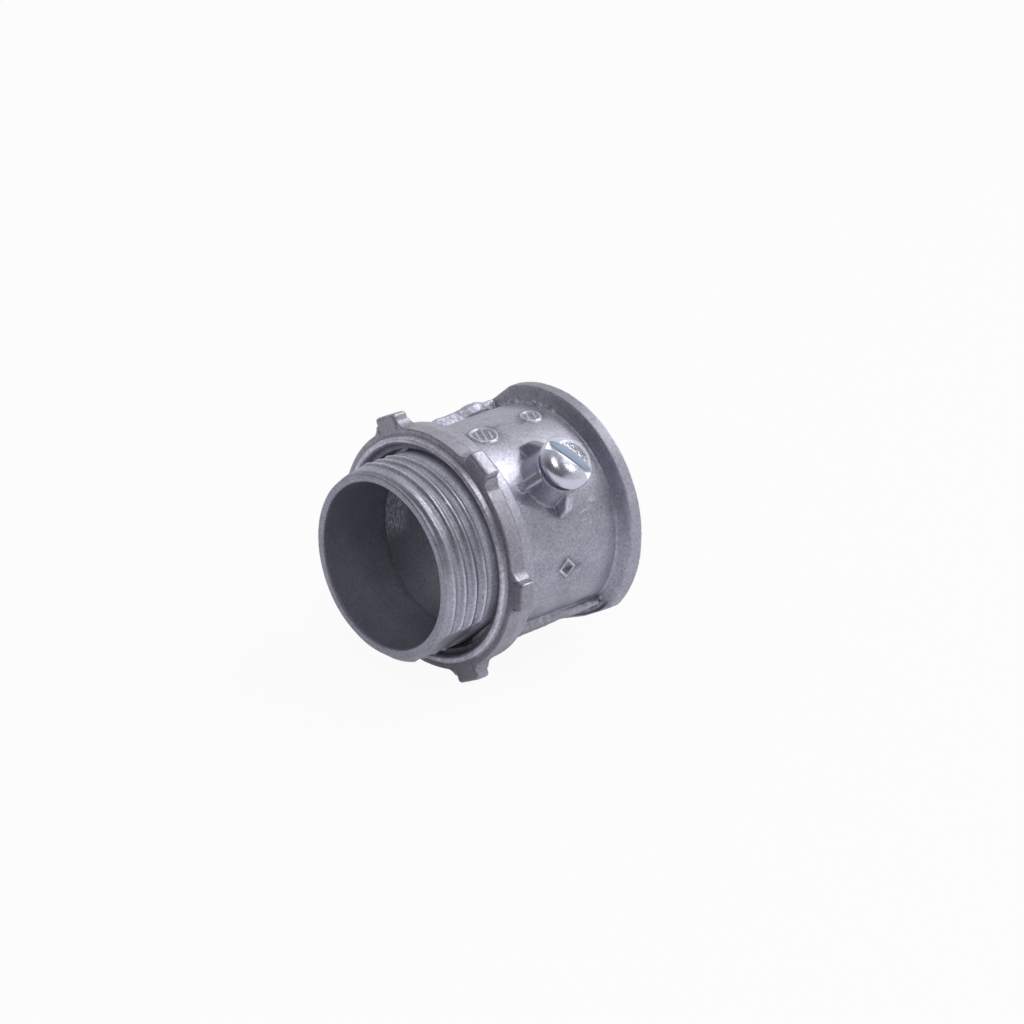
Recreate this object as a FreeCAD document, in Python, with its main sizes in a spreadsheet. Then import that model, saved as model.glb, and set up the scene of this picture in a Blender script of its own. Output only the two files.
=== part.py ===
import FreeCAD, Part
import Sketcher
import os

# Set-screw conduit connector: die-cast body, six-lug locknut and round-head set screw.
# Frame: the X axis is the connector's own axis. The box wall seats on the shoulder at X = 0,
# the threaded nose points to -X and the conduit enters from +X. Z is up with the connector
# lying on two lugs of its locknut and on the rim of its flange. Millimetres and degrees.

SIZES = {
    # threaded nose, in front of the shoulder, with its wall round the throat
    "nose_length": 12.65,
    "nose_wall": 2.6,
    "nose_chamfer": 1.3,
    "nose_lead": 1.9,
    "relief_length": 4.0,
    "relief_depth": 0.3,
    "nose_flat_depth": 1.15,
    # right-hand thread of the nose, 11.5 threads to the inch, cut as one helical groove
    "thread_pitch": 2.209,
    "thread_start": 3.996,
    "thread_depth": 0.8,
    "thread_root_width": 0.9,
    "thread_flank_width": 0.5,
    "thread_margin": 0.15,
    # conduit socket, the stop at its end, and the wire way through the nose
    "socket_radius": 14.95,
    "socket_lead": 0.5,
    "stop_height": 1.05,
    "stop_position": 0.85,
    "mouth_break": 0.25,
    # barrel round the socket, and the heights of shoulder and flange above it
    "barrel_wall": 2.65,
    "barrel_draft": 0.3,
    "collar_thickness": 2.3,
    "collar_height": 2.5,
    "collar_edge": 0.35,
    "flange_position": 22.7,
    "flange_height": 2.73,
    "flange_slope": 1.0,
    "flange_band": 2.1,
    "flange_edge": 0.3,
    "gate_flat_depth": 0.88,
    "gate_flat_angle": 88.0,
    "vent_flat_depth": 1.03,
    "vent_flat_angle": 102.5,
    "corner_round": 0.6,
    # rough pads on both sides of the barrel, left where the gate and the vents were trimmed
    "land_angle": 97.0,
    "land_width": 8.6,
    "gate_land_height": 1.7,
    "vent_land_height": 1.0,
    # boss round the set screw, with its four gussets
    "screw_turn": 43.0,
    "boss_position": 11.55,
    "boss_height": 4.4,
    "boss_wall": 1.72,
    "boss_flare": 0.55,
    "gusset_width": 2.1,
    "gusset_reach": 1.55,
    "gusset_knee_back": 0.35,
    "gusset_knee_drop": 3.0,
    "gusset_top_drop": 0.3,
    "gusset_count": 4.0,
    "screw_hole_clearance": 0.065,
    # how far the cutting outlines stand clear of what they cut
    "cut_margin": 2.0,
    # locknut, with radial widths counted from its bore
    "nut_bore_clearance": 0.08,
    "nut_thickness": 2.9,
    "nut_ring_width": 3.67,
    "nut_thread_length": 2.2,
    "recess_width": 1.12,
    "lip_offset": 1.52,
    "lip_height": 0.95,
    "lip_crest_width": 0.35,
    "lip_foot_width": 1.0,
    "lug_height": 2.25,
    "lug_width": 5.1,
    "lug_count": 6.0,
    "lug_root_round": 1.1,
    "lug_tip_round": 0.7,
    "nut_turn": 30.0,
    # set screw
    "screw_radius": 2.415,
    "shank_length": 7.94,
    "shank_point": 0.5,
    "screw_backed_out": 1.4,
    "head_overhang": 2.135,
    "head_height": 3.3,
    "head_rim": 0.45,
    "slot_width": 1.75,
    "slot_depth": 1.75,
    "slot_turn": 57.0,
}

# Sizes that follow from the ones above, as expressions.
THROAT = "(Sizes.socket_radius - Sizes.stop_height)"
NOSE = f"({THROAT} + Sizes.nose_wall)"
BARREL = "(Sizes.socket_radius + Sizes.barrel_wall)"
BARREL_END = f"({BARREL} + Sizes.barrel_draft)"
COLLAR = f"({BARREL} + Sizes.collar_height)"
FLANGE = f"({BARREL_END} + Sizes.flange_height)"
FLANGE_BACK = "(Sizes.flange_position + Sizes.flange_slope + Sizes.flange_band)"
WALL_MIDDLE = "(Sizes.socket_radius + Sizes.barrel_wall / 2)"
SCREW_HOLE = "(Sizes.screw_radius + Sizes.screw_hole_clearance)"
BOSS_TOP = f"({BARREL} + Sizes.boss_height)"
BOSS_TOP_RADIUS = f"({SCREW_HOLE} + Sizes.boss_wall)"
BOSS_FOOT_RADIUS = f"({BOSS_TOP_RADIUS} + Sizes.boss_flare)"
GUSSET_END = f"({BOSS_FOOT_RADIUS} + Sizes.gusset_reach)"
NUT_BORE = f"({NOSE} + Sizes.nut_bore_clearance)"
NUT_RING = f"({NUT_BORE} + Sizes.nut_ring_width)"
LIP = f"({NUT_BORE} + Sizes.lip_offset)"
LIP_FRONT = "(-Sizes.nut_thickness - Sizes.lip_height)"
LUG_TIP = f"({NUT_RING} + Sizes.lug_height)"
SCREW_SEAT = f"({BOSS_TOP} + Sizes.screw_backed_out)"
HEAD = "(Sizes.screw_radius + Sizes.head_overhang)"

doc = FreeCAD.newDocument("ConduitConnector")
sheet = doc.addObject("Spreadsheet::Sheet", "Sizes")
for row, (name, value) in enumerate(SIZES.items(), start=1):
    sheet.set(f"A{row}", name)
    sheet.set(f"B{row}", str(value))
    sheet.setAlias(f"B{row}", name)
doc.recompute()


def origin_part(body, role):
    """The body's own origin plane or axis with the given role."""
    return next(item for item in body.Origin.OriginFeatures if item.Role == role)


def new_body(label):
    body = doc.addObject("PartDesign::Body", label)
    body.Label = label
    return body


def new_sketch(body, name, role, offset=None, turn=None):
    """A sketch on one of the body's planes.

    offset gives expressions for the place of its origin, along the sketch's own axes,
    and turn gives the expression of its angle about its normal.
    """
    sketch = body.newObject("Sketcher::SketchObject", name)
    sketch.AttachmentSupport = [(origin_part(body, role), "")]
    sketch.MapMode = "FlatFace"
    for axis, expression in (offset or {}).items():
        sketch.setExpression(f"AttachmentOffset.Base.{axis}", expression)
    if turn:
        sketch.AttachmentOffset.Rotation.Axis = FreeCAD.Vector(0, 0, 1)
        sketch.setExpression("AttachmentOffset.Rotation.Angle", turn)
    return sketch


def place_point(sketch, edge, end, across, up):
    """Ties an end of an edge to two distances from the sketch's origin."""
    drawn = sketch.getPoint(edge, end)
    for kind, drawn_at, expression in (("DistanceX", drawn.x, across), ("DistanceY", drawn.y, up)):
        index = sketch.addConstraint(Sketcher.Constraint(kind, -1, 1, edge, end, drawn_at))
        sketch.setExpression(f"Constraints[{index}]", expression)


def draw_outline(sketch, corners):
    """A closed outline of straight edges through corners given as pairs of expressions."""
    count = len(corners)
    start = [FreeCAD.Vector(step, step * step, 0) for step in range(count)]
    for step in range(count):
        sketch.addGeometry(Part.LineSegment(start[step], start[(step + 1) % count]), False)
    for step in range(count):
        sketch.addConstraint(Sketcher.Constraint("Coincident", step, 2, (step + 1) % count, 1))
    for step, (across, up) in enumerate(corners):
        place_point(sketch, step, 1, across, up)


def draw_circle(sketch, radius):
    """A circle about the sketch's origin."""
    circle = Part.Circle(FreeCAD.Vector(0, 0, 0), FreeCAD.Vector(0, 0, 1), 1.0)
    edge = sketch.addGeometry(circle, False)
    sketch.addConstraint(Sketcher.Constraint("Coincident", edge, 3, -1, 1))
    index = sketch.addConstraint(Sketcher.Constraint("Radius", edge, 1.0))
    sketch.setExpression(f"Constraints[{index}]", radius)


def spin(body, name, sketch, axis):
    """Revolves a sketch through a full turn."""
    feature = body.newObject("PartDesign::Revolution", name)
    feature.Profile = sketch
    feature.ReferenceAxis = axis
    feature.Angle = 360.0
    body.Tip = feature
    doc.recompute()


def pad(body, name, sketch, length, reverse=False, both_ways=False):
    feature = body.newObject("PartDesign::Pad", name)
    feature.Profile = sketch
    feature.setExpression("Length", length)
    feature.Reversed = reverse
    feature.Midplane = both_ways
    body.Tip = feature
    doc.recompute()
    return feature


def cut(body, name, sketch, length, reverse=False):
    """Cuts a sketch into the body, and checks that it took something away."""
    volume_before = body.Shape.Volume
    feature = body.newObject("PartDesign::Pocket", name)
    feature.Profile = sketch
    feature.setExpression("Length", length)
    feature.Reversed = reverse
    body.Tip = feature
    doc.recompute()
    if feature.Shape.Volume >= volume_before:
        raise RuntimeError(f"{name} removed nothing")


def cut_helix(body, name, sketch, axis, pitch, length):
    """Cuts a sketch along a right-hand helix towards -X, and checks that it took something away."""
    volume_before = body.Shape.Volume
    feature = body.newObject("PartDesign::SubtractiveHelix", name)
    feature.Profile = sketch
    feature.ReferenceAxis = axis
    feature.Mode = "pitch-height-angle"
    feature.setExpression("Pitch", pitch)
    feature.setExpression("Height", length)
    feature.LeftHanded = False
    feature.Reversed = True
    body.Tip = feature
    doc.recompute()
    if feature.Shape.Volume >= volume_before:
        raise RuntimeError(f"{name} removed nothing")


def repeat_round(body, name, feature, axis, count):
    """Repeats a feature at equal steps round an axis."""
    pattern = body.newObject("PartDesign::PolarPattern", name)
    pattern.Originals = [feature]
    pattern.Axis = axis
    pattern.Angle = 360.0
    pattern.setExpression("Occurrences", count)
    body.Tip = pattern
    doc.recompute()


def edge_names(shape, wanted):
    """Names of the edges for which wanted(edge) holds."""
    return [f"Edge{number}" for number, edge in enumerate(shape.Edges, start=1) if wanted(edge)]


def round_edges(body, name, wanted, radius):
    base = body.Tip
    names = edge_names(base.Shape, wanted)
    if not names:
        raise RuntimeError(f"{name} found no edge")
    feature = body.newObject("PartDesign::Fillet", name)
    feature.Base = (base, names)
    feature.setExpression("Radius", radius)
    body.Tip = feature
    doc.recompute()


def is_ring(edge, radius, position):
    """A circle about the X axis with the given radius and place along it."""
    curve = edge.Curve
    if not isinstance(curve, Part.Circle):
        return False
    on_axis = abs(curve.Center.y) < 0.01 and abs(curve.Center.z) < 0.01
    return on_axis and abs(curve.Radius - radius) < 0.01 and abs(curve.Center.x - position) < 0.01


# The casting is drawn with its screw boss upright, and its Placement turns it about X.
connector_body = new_body("connector_body")

profile = new_sketch(connector_body, "BodyProfile", "XZ_Plane")
draw_outline(profile, [
    ("-Sizes.nose_length", f"{THROAT} + Sizes.mouth_break"),
    ("-Sizes.nose_length", f"{NOSE} - Sizes.nose_chamfer"),
    ("Sizes.nose_lead - Sizes.nose_length", NOSE),
    ("-Sizes.relief_length", NOSE),
    ("-Sizes.relief_length", f"{NOSE} - Sizes.relief_depth"),
    ("0", f"{NOSE} - Sizes.relief_depth"),
    ("0", COLLAR),
    ("Sizes.collar_thickness", COLLAR),
    ("Sizes.collar_thickness", BARREL),
    ("Sizes.flange_position", BARREL_END),
    ("Sizes.flange_position + Sizes.flange_slope", FLANGE),
    (FLANGE_BACK, FLANGE),
    (FLANGE_BACK, "Sizes.socket_radius + Sizes.socket_lead"),
    (f"{FLANGE_BACK} - Sizes.socket_lead", "Sizes.socket_radius"),
    ("Sizes.stop_position", "Sizes.socket_radius"),
    ("Sizes.stop_position", THROAT),
    ("Sizes.mouth_break - Sizes.nose_length", THROAT),
])
spin(connector_body, "BodyTurned", profile, (origin_part(connector_body, "X_Axis"), [""]))

# Two pads stand off the barrel, nearly opposite each other and just behind the parting line.
LAND_START = "Sizes.collar_thickness / 2"
for name, angle, height in (("GateLand", "-Sizes.land_angle", "Sizes.gate_land_height"),
                            ("VentLand", "Sizes.land_angle", "Sizes.vent_land_height")):
    land = new_sketch(connector_body, name + "Outline", "YZ_Plane", {"z": LAND_START},
                      angle + " * 1 deg")
    draw_outline(land, [
        ("-Sizes.land_width / 2", WALL_MIDDLE),
        ("Sizes.land_width / 2", WALL_MIDDLE),
        ("Sizes.land_width / 2", f"{BARREL} + {height}"),
        ("-Sizes.land_width / 2", f"{BARREL} + {height}"),
    ])
    pad(connector_body, name, land, f"Sizes.flange_position + Sizes.flange_slope - {LAND_START}")

# Flats where the thread and the flange are cut short beside the parting line.
for side, angle in (("Left", "90"), ("Right", "-90")):
    flat = new_sketch(connector_body, f"NoseFlat{side}Outline", "YZ_Plane", None, angle + " * 1 deg")
    draw_outline(flat, [
        (f"-{NOSE}", f"{NOSE} - Sizes.nose_flat_depth"),
        (NOSE, f"{NOSE} - Sizes.nose_flat_depth"),
        (NOSE, f"{NOSE} + Sizes.cut_margin"),
        (f"-{NOSE}", f"{NOSE} + Sizes.cut_margin"),
    ])
    cut(connector_body, f"NoseFlat{side}", flat, "Sizes.nose_length + Sizes.cut_margin")
for side, angle, depth in (("Gate", "-Sizes.gate_flat_angle", "Sizes.gate_flat_depth"),
                           ("Vent", "Sizes.vent_flat_angle", "Sizes.vent_flat_depth")):
    flat = new_sketch(connector_body, f"FlangeFlat{side}Outline", "YZ_Plane",
                      {"z": "Sizes.flange_position"}, angle + " * 1 deg")
    draw_outline(flat, [
        (f"-{FLANGE}", f"{FLANGE} - {depth}"),
        (FLANGE, f"{FLANGE} - {depth}"),
        (FLANGE, f"{FLANGE} + Sizes.cut_margin"),
        (f"-{FLANGE}", f"{FLANGE} + Sizes.cut_margin"),
    ])
    cut(connector_body, f"FlangeFlat{side}", flat,
        "Sizes.flange_slope + Sizes.flange_band + Sizes.cut_margin", reverse=True)

# The groove starts beside the neck that sits in the box wall, and runs out past the nose's tip.
groove = new_sketch(connector_body, "ThreadOutline", "XZ_Plane", {"x": "-Sizes.thread_start"})
GROOVE_TOP = ("(Sizes.thread_root_width / 2 + Sizes.thread_flank_width"
              " * (1 + Sizes.thread_margin / Sizes.thread_depth))")
draw_outline(groove, [
    ("-Sizes.thread_root_width / 2", f"{NOSE} - Sizes.thread_depth"),
    ("Sizes.thread_root_width / 2", f"{NOSE} - Sizes.thread_depth"),
    (GROOVE_TOP, f"{NOSE} + Sizes.thread_margin"),
    (f"-{GROOVE_TOP}", f"{NOSE} + Sizes.thread_margin"),
])
cut_helix(connector_body, "Thread", groove, (origin_part(connector_body, "X_Axis"), [""]),
          "Sizes.thread_pitch", "Sizes.nose_length + Sizes.thread_pitch / 2 - Sizes.thread_start")

# The boss is a drafted cone, with four gussets from its top edge down to the barrel.
boss_profile = new_sketch(connector_body, "BossProfile", "XZ_Plane", {"x": "Sizes.boss_position"})
draw_outline(boss_profile, [
    ("0", WALL_MIDDLE),
    (BOSS_FOOT_RADIUS, WALL_MIDDLE),
    (BOSS_TOP_RADIUS, BOSS_TOP),
    ("0", BOSS_TOP),
])
spin(connector_body, "Boss", boss_profile, (boss_profile, ["V_Axis"]))
gusset_profile = new_sketch(connector_body, "GussetProfile", "XZ_Plane", {"x": "Sizes.boss_position"})
draw_outline(gusset_profile, [
    ("0", WALL_MIDDLE),
    (f"-{GUSSET_END}", WALL_MIDDLE),
    (f"Sizes.gusset_knee_back - {GUSSET_END}", f"{BOSS_TOP} - Sizes.gusset_knee_drop"),
    (f"-{BOSS_TOP_RADIUS}", f"{BOSS_TOP} - Sizes.gusset_top_drop"),
    ("0", f"{BOSS_TOP} - Sizes.gusset_top_drop"),
])
gusset = pad(connector_body, "Gusset", gusset_profile, "Sizes.gusset_width", both_ways=True)
repeat_round(connector_body, "Gussets", gusset, (boss_profile, ["V_Axis"]), "Sizes.gusset_count")

screw_hole = new_sketch(connector_body, "ScrewHoleOutline", "XY_Plane",
                        {"x": "Sizes.boss_position", "z": f"{BOSS_TOP} + Sizes.cut_margin"})
draw_circle(screw_hole, SCREW_HOLE)
cut(connector_body, "ScrewHole", screw_hole, BOSS_TOP)

collar_back = SIZES["collar_thickness"]
flange_back = SIZES["flange_position"] + SIZES["flange_slope"] + SIZES["flange_band"]
barrel_radius = SIZES["socket_radius"] + SIZES["barrel_wall"]
collar_radius = barrel_radius + SIZES["collar_height"]
flange_radius = barrel_radius + SIZES["barrel_draft"] + SIZES["flange_height"]
round_edges(connector_body, "CollarEdge",
            lambda edge: is_ring(edge, collar_radius, collar_back), "Sizes.collar_edge")
round_edges(connector_body, "BarrelCorner",
            lambda edge: is_ring(edge, barrel_radius, collar_back), "Sizes.corner_round")
round_edges(connector_body, "FlangeEdge",
            lambda edge: is_ring(edge, flange_radius, flange_back), "Sizes.flange_edge")

connector_body.Placement.Rotation.Axis = FreeCAD.Vector(1, 0, 0)
connector_body.setExpression("Placement.Rotation.Angle", "Sizes.screw_turn * 1 deg")

# The locknut is run up against the shoulder, with the raised lip round its thread in front.
locknut = new_body("locknut")
nut_profile = new_sketch(locknut, "NutProfile", "XZ_Plane")
draw_outline(nut_profile, [
    ("0", NUT_BORE),
    ("-Sizes.nut_thread_length", NUT_BORE),
    ("-Sizes.nut_thread_length", f"{NUT_BORE} + Sizes.recess_width"),
    (LIP_FRONT, LIP),
    (LIP_FRONT, f"{LIP} + Sizes.lip_crest_width"),
    ("-Sizes.nut_thickness", f"{LIP} + Sizes.lip_foot_width"),
    ("-Sizes.nut_thickness", NUT_RING),
    ("0", NUT_RING),
])
spin(locknut, "NutRing", nut_profile, (origin_part(locknut, "X_Axis"), [""]))
lug_outline = new_sketch(locknut, "LugOutline", "YZ_Plane")
draw_outline(lug_outline, [
    ("-Sizes.lug_width / 2", f"{NUT_BORE} + Sizes.nut_ring_width / 2"),
    ("Sizes.lug_width / 2", f"{NUT_BORE} + Sizes.nut_ring_width / 2"),
    ("Sizes.lug_width / 2", f"{LUG_TIP} + Sizes.cut_margin / 2"),
    ("-Sizes.lug_width / 2", f"{LUG_TIP} + Sizes.cut_margin / 2"),
])
lug = pad(locknut, "Lug", lug_outline, "Sizes.nut_thickness", reverse=True)
repeat_round(locknut, "Lugs", lug, (origin_part(locknut, "X_Axis"), [""]), "Sizes.lug_count")

# The lugs' tips follow a circle about the nut's axis.
tip_ring = new_sketch(locknut, "LugTipOutline", "YZ_Plane")
draw_circle(tip_ring, LUG_TIP)
draw_circle(tip_ring, f"{LUG_TIP} + Sizes.cut_margin")
cut(locknut, "LugTips", tip_ring, "Sizes.nut_thickness")


def runs_along_axis(edge, radius):
    """A straight edge parallel to the X axis at the given distance from it."""
    if not isinstance(edge.Curve, Part.Line) or abs(edge.tangentAt(edge.FirstParameter).x) < 0.999:
        return False
    middle = edge.CenterOfMass
    return abs((middle.y ** 2 + middle.z ** 2) ** 0.5 - radius) < 0.05


nose_radius = SIZES["socket_radius"] - SIZES["stop_height"] + SIZES["nose_wall"]
ring_radius = nose_radius + SIZES["nut_bore_clearance"] + SIZES["nut_ring_width"]
tip_radius = ring_radius + SIZES["lug_height"]
round_edges(locknut, "LugRoots",
            lambda edge: runs_along_axis(edge, ring_radius), "Sizes.lug_root_round")
round_edges(locknut, "LugCorners",
            lambda edge: runs_along_axis(edge, tip_radius), "Sizes.lug_tip_round")

# Turned so that the connector lies on two lugs.
locknut.Placement.Rotation.Axis = FreeCAD.Vector(1, 0, 0)
locknut.setExpression("Placement.Rotation.Angle", "Sizes.nut_turn * 1 deg")

# The set screw is drawn upright on the connector's axis, and turned to its boss by its Placement.
set_screw = new_body("set_screw")
seat = barrel_radius + SIZES["boss_height"] + SIZES["screw_backed_out"]
head_radius = SIZES["screw_radius"] + SIZES["head_overhang"]
screw_profile = new_sketch(set_screw, "ScrewProfile", "XZ_Plane")
shank_end = f"{SCREW_SEAT} - Sizes.shank_length"
screw_corners = [
    (0.0, seat - SIZES["shank_length"], "0", shank_end),
    (SIZES["screw_radius"] - SIZES["shank_point"], seat - SIZES["shank_length"],
     "Sizes.screw_radius - Sizes.shank_point", shank_end),
    (SIZES["screw_radius"], seat - SIZES["shank_length"] + SIZES["shank_point"],
     "Sizes.screw_radius", shank_end + " + Sizes.shank_point"),
    (SIZES["screw_radius"], seat, "Sizes.screw_radius", SCREW_SEAT),
    (head_radius, seat, HEAD, SCREW_SEAT),
    (head_radius, seat + SIZES["head_rim"], HEAD, f"{SCREW_SEAT} + Sizes.head_rim"),
    (0.0, seat + SIZES["head_height"], "0", f"{SCREW_SEAT} + Sizes.head_height"),
]
places = [FreeCAD.Vector(across, up, 0) for across, up, _, _ in screw_corners]
dome_rise = SIZES["head_height"] - SIZES["head_rim"]
dome_radius = (dome_rise ** 2 + head_radius ** 2) / (2 * dome_rise)
dome_centre = FreeCAD.Vector(0, places[-1].y - dome_radius, 0)
dome_side = dome_centre + (places[-1] + places[-2] - dome_centre * 2).normalize() * dome_radius
last = len(places) - 1
for step in range(last - 1):
    screw_profile.addGeometry(Part.LineSegment(places[step], places[step + 1]), False)
dome = screw_profile.addGeometry(Part.Arc(places[last - 1], dome_side, places[last]), False)
screw_axis = screw_profile.addGeometry(Part.LineSegment(places[last], places[0]), False)
for step in range(last - 2):
    screw_profile.addConstraint(Sketcher.Constraint("Coincident", step, 2, step + 1, 1))
screw_profile.addConstraint(Sketcher.Constraint("Coincident", last - 2, 2, dome, 1))
screw_profile.addConstraint(Sketcher.Constraint("Coincident", dome, 2, screw_axis, 1))
screw_profile.addConstraint(Sketcher.Constraint("Coincident", screw_axis, 2, 0, 1))
screw_profile.addConstraint(Sketcher.Constraint("PointOnObject", dome, 3, -2))
for step, (_, _, across, up) in enumerate(screw_corners[:-1]):
    place_point(screw_profile, min(step, last - 2), 1 if step < last - 1 else 2, across, up)
place_point(screw_profile, screw_axis, 1, screw_corners[-1][2], screw_corners[-1][3])
spin(set_screw, "ScrewTurned", screw_profile, (screw_profile, ["V_Axis"]))
slot_outline = new_sketch(set_screw, "SlotOutline", "XY_Plane",
                          {"z": f"{SCREW_SEAT} + Sizes.head_height"}, "-Sizes.slot_turn * 1 deg")
draw_outline(slot_outline, [
    (f"-{HEAD} - Sizes.cut_margin", "-Sizes.slot_width / 2"),
    (f"{HEAD} + Sizes.cut_margin", "-Sizes.slot_width / 2"),
    (f"{HEAD} + Sizes.cut_margin", "Sizes.slot_width / 2"),
    (f"-{HEAD} - Sizes.cut_margin", "Sizes.slot_width / 2"),
])
cut(set_screw, "Slot", slot_outline, "Sizes.slot_depth")
set_screw.Placement.Rotation.Axis = FreeCAD.Vector(1, 0, 0)
set_screw.setExpression("Placement.Rotation.Angle", "Sizes.screw_turn * 1 deg")
set_screw.setExpression("Placement.Base.x", "Sizes.boss_position")
doc.recompute()

pieces = [connector_body, locknut, set_screw]
for item in doc.Objects:
    if "Invalid" in item.State or "Error" in item.State:
        raise RuntimeError(f"{item.Label} failed: {item.State}")
for piece in pieces:
    if piece.Shape.isNull() or not piece.Shape.isValid():
        raise RuntimeError(f"{piece.Label} has no sound shape")
os.makedirs("parts", exist_ok=True)
for piece in pieces:
    piece.Shape.exportStep(f"parts/{piece.Label}.step")
    box = piece.Shape.optimalBoundingBox()
    print(f"{piece.Label}: {len(piece.Shape.Solids)} solid, {piece.Shape.Volume:.0f} mm3,",
          f"X {box.XMin:.2f} to {box.XMax:.2f}, Y {box.YMin:.2f} to {box.YMax:.2f},",
          f"Z {box.ZMin:.2f} to {box.ZMax:.2f}")
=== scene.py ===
# %% [markdown]
# A die-cast conduit connector with its locknut and its set screw.
# The part arrives from CAD as a fixed frame of three nodes. This lesson models each of them
# again with the forms that casting and thread cutting leave, gives them metal finishes, and
# sets them in a pale studio.

# %% Load the frame
import math

import bpy
import numpy as np
from mathutils import Matrix, Vector


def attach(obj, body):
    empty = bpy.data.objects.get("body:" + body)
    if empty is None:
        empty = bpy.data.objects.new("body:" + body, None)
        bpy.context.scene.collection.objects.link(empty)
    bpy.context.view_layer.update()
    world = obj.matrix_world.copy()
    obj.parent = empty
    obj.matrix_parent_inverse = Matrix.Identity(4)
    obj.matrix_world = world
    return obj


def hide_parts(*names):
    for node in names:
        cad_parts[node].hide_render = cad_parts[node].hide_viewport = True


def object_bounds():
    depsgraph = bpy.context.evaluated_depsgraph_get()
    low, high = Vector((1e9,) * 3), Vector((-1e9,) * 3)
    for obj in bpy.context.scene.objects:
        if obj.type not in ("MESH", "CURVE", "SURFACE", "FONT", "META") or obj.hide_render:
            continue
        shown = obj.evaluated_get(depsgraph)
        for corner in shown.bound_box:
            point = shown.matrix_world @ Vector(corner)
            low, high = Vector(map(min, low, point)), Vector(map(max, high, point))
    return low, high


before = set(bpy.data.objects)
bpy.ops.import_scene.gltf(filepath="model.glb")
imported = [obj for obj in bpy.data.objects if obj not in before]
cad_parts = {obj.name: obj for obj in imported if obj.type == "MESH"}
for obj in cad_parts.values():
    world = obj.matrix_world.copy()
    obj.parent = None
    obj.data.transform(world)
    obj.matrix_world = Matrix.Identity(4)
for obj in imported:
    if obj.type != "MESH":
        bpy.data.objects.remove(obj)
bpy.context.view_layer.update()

# %% [markdown]
# The casting is small, and many of Blender's operators count distances under a tenth of a
# millimetre as nothing. So every piece is modelled with one unit to the millimetre, and is
# scaled to metres when it is done. The X axis is the connector's own axis: the nose points
# to -X, and X = 0 is the shoulder that seats on the box wall. A place on the part is given by
# X, by its radius, and by its turn: the angle about X from the top towards -Y.

# %% Helpers for solids
MILLIMETRE = 0.001


def pick(*pieces):
    """Selects these pieces alone, with the first one active."""
    bpy.ops.object.select_all(action="DESELECT")
    for piece in pieces:
        piece.select_set(True)
    bpy.context.view_layer.objects.active = pieces[0]


def outward(turn, radius=1.0, across=0.0):
    """The point at that turn, radius and X."""
    angle = math.radians(turn)
    return Vector((across, -math.sin(angle) * radius, math.cos(angle) * radius))


def apply_modifier(piece, kind, **settings):
    """Adds a modifier and applies it."""
    pick(piece)
    modifier = piece.modifiers.new(kind.title(), kind)
    for name, value in settings.items():
        setattr(modifier, name, value)
    bpy.ops.object.modifier_apply(modifier=modifier.name)


def tidy(piece):
    """Merges doubles and points every face outwards."""
    pick(piece)
    bpy.ops.object.mode_set(mode="EDIT")
    bpy.ops.mesh.select_all(action="SELECT")
    bpy.ops.mesh.remove_doubles(threshold=0.0005)
    bpy.ops.mesh.normals_make_consistent(inside=False)
    bpy.ops.object.mode_set(mode="OBJECT")


def turned(name, profile, axis=(1, 0, 0), steps=240):
    """Spins a closed profile of points through a full turn."""
    count = len(profile)
    mesh = bpy.data.meshes.new(name)
    mesh.from_pydata(profile, [(i, (i + 1) % count) for i in range(count)], [])
    piece = bpy.data.objects.new(name, mesh)
    bpy.context.scene.collection.objects.link(piece)
    pick(piece)
    bpy.ops.object.mode_set(mode="EDIT")
    bpy.ops.mesh.select_all(action="SELECT")
    bpy.ops.mesh.spin(steps=steps, angle=math.tau, center=(0, 0, 0), axis=axis)
    bpy.ops.object.mode_set(mode="OBJECT")
    tidy(piece)
    return piece


def block(name, low, high, turn):
    """A box between two corners, given with the box upright, turned about X to its place."""
    size = Vector(high) - Vector(low)
    bpy.ops.object.select_all(action="DESELECT")
    bpy.ops.mesh.primitive_cube_add(size=1, location=(Vector(high) + Vector(low)) / 2, scale=size)
    piece = bpy.context.object
    piece.name = name
    bpy.ops.object.transform_apply(location=True, rotation=False, scale=True)
    piece.rotation_euler = (math.radians(turn), 0, 0)
    bpy.ops.object.transform_apply(location=False, rotation=True, scale=False)
    return piece


def take_away(piece, cutter):
    """Cuts one piece with another, which is used up."""
    apply_modifier(piece, "BOOLEAN", object=cutter, operation="DIFFERENCE", solver="EXACT")
    bpy.data.objects.remove(cutter)


def cast_as_one(name, pieces, grain, smoothing):
    """Melts overlapping pieces into one skin, and softens its corners as a mould does."""
    pick(*pieces)
    bpy.ops.object.join()
    piece = bpy.context.object
    piece.name = name
    piece.data.name = name
    apply_modifier(piece, "REMESH", mode="VOXEL", voxel_size=grain, adaptivity=0)
    apply_modifier(piece, "SMOOTH", factor=0.5, iterations=smoothing)
    return piece


# %% [markdown]
# A remeshed skin takes its threads, tears and marks from arithmetic on its vertices. They are
# read as one array, moved, and written back. Smooth steps between 0 and 1 say where a form
# begins and ends.


# %% Helpers for moving points
def read_points(piece):
    """The piece's vertices and normals as arrays."""
    points = np.zeros(len(piece.data.vertices) * 3)
    normals = np.zeros(len(piece.data.vertices) * 3)
    piece.data.vertices.foreach_get("co", points)
    piece.data.vertex_normals.foreach_get("vector", normals)
    return points.reshape(-1, 3), normals.reshape(-1, 3)


def write_points(piece, points):
    """Moves the piece's vertices to these points."""
    piece.data.vertices.foreach_set("co", points.ravel())
    piece.data.update()


def place_of(points):
    """X, radius and turn in degrees of every point."""
    radius = np.hypot(points[:, 1], points[:, 2])
    return points[:, 0], radius, np.degrees(np.arctan2(-points[:, 1], points[:, 2]))


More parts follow.
